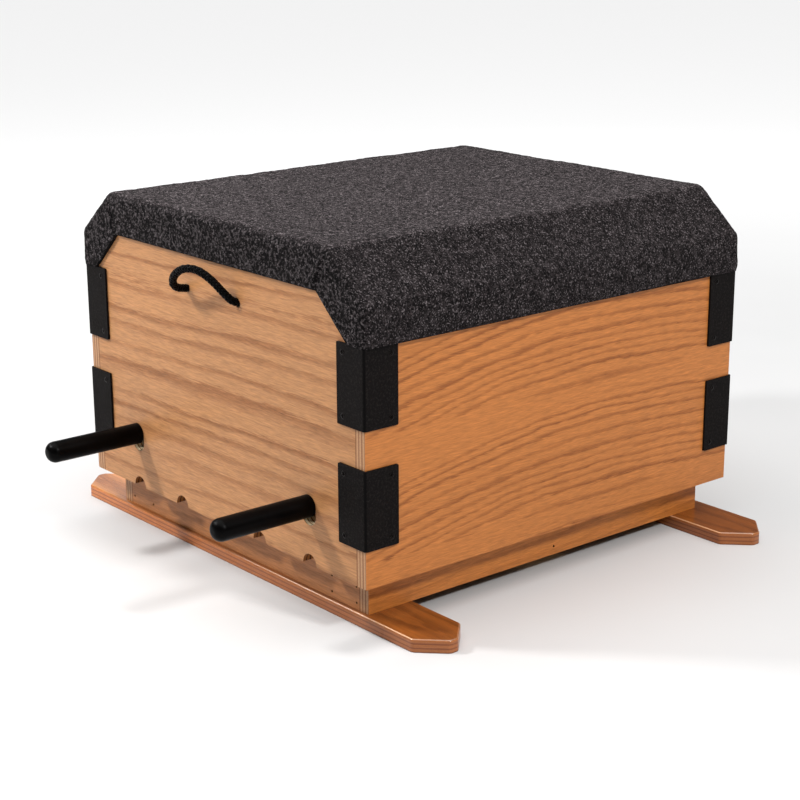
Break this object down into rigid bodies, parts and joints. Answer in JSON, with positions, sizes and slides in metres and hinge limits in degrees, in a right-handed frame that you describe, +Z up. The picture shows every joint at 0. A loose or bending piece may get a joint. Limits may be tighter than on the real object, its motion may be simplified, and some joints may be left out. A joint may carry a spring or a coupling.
{
  "type": "height-adjustable plyo box",
  "caption": "Carpeted plywood jump box with bevelled sides that telescopes over a base on two skids and is locked by pull-out bars.",
  "frame": {"origin": "on the floor, in the middle of the rectangle that the whole part covers with its bars and skids", "axes": "+Z up; the end with the rope handle and the bar grips faces -Y; +X is to the right when looking at that end"},
  "size_m": [0.862, 0.859, 0.506],
  "materials": {
    "oak_plywood": "clear satin lacquer over red oak veneer",
    "oak_plywood_skid": "clear gloss lacquer over red oak veneer",
    "softwood": "planed, unfinished",
    "charcoal_carpet": "needle-punched heather carpet",
    "black_powder_coat": "fine-texture matt powder coat",
    "screw_black": "black oxide",
    "screw_steel": "zinc plated",
    "steel_bar": "bright drawn bar",
    "black_vinyl": "satin dipped vinyl",
    "black_rope": "braided polypropylene"
  },
  "bodies": {
    "base": {"base_block_front_left": "softwood", "base_block_front_right": "softwood", "base_block_rear_left": "softwood", "base_block_rear_right": "softwood", "base_brace": "softwood", "base_end_front": "oak_plywood", "base_end_rear": "oak_plywood", "base_end_screws": "screw_steel", "base_side_left": "oak_plywood", "base_side_right": "oak_plywood", "brace_screws": "screw_steel", "foot_front": "oak_plywood_skid", "foot_rear": "oak_plywood_skid", "foot_screws": "screw_steel"},
    "top_box": {"bevel_board_left": "oak_plywood", "bevel_board_right": "oak_plywood", "bracket_front_left_lower": "black_powder_coat", "bracket_front_left_upper": "black_powder_coat", "bracket_front_right_lower": "black_powder_coat", "bracket_front_right_upper": "black_powder_coat", "bracket_rear_left_lower": "black_powder_coat", "bracket_rear_left_upper": "black_powder_coat", "bracket_rear_right_lower": "black_powder_coat", "bracket_rear_right_upper": "black_powder_coat", "bracket_screws": "screw_black", "carpet_cover": "charcoal_carpet", "deck_board": "oak_plywood", "end_panel_front": "oak_plywood", "end_panel_rear": "oak_plywood", "guide_front_left": "softwood", "guide_front_right": "softwood", "guide_left_front": "softwood", "guide_left_rear": "softwood", "guide_rear_left": "softwood", "guide_rear_right": "softwood", "guide_right_front": "softwood", "guide_right_rear": "softwood", "rope_handle": "black_rope", "rope_knot_left": "black_rope", "rope_knot_right": "black_rope", "side_panel_left": "oak_plywood", "side_panel_right": "oak_plywood"},
    "left_bar": {"lock_bar_left": "steel_bar", "bar_grip_left": "black_vinyl"},
    "right_bar": {"lock_bar_right": "steel_bar", "bar_grip_right": "black_vinyl"}
  },
  "joints": [
    {"name": "top_lift", "type": "slide", "parent": "base", "child": "top_box", "axis": [0, 0, 1], "range_m": [0, 0.0145]},
    {"name": "left_bar_pull", "type": "slide", "parent": "base", "child": "left_bar", "axis": [0, -1, 0], "range_m": [0, 0.65]},
    {"name": "right_bar_pull", "type": "slide", "parent": "base", "child": "right_bar", "axis": [0, -1, 0], "range_m": [0, 0.65]}
  ]
}
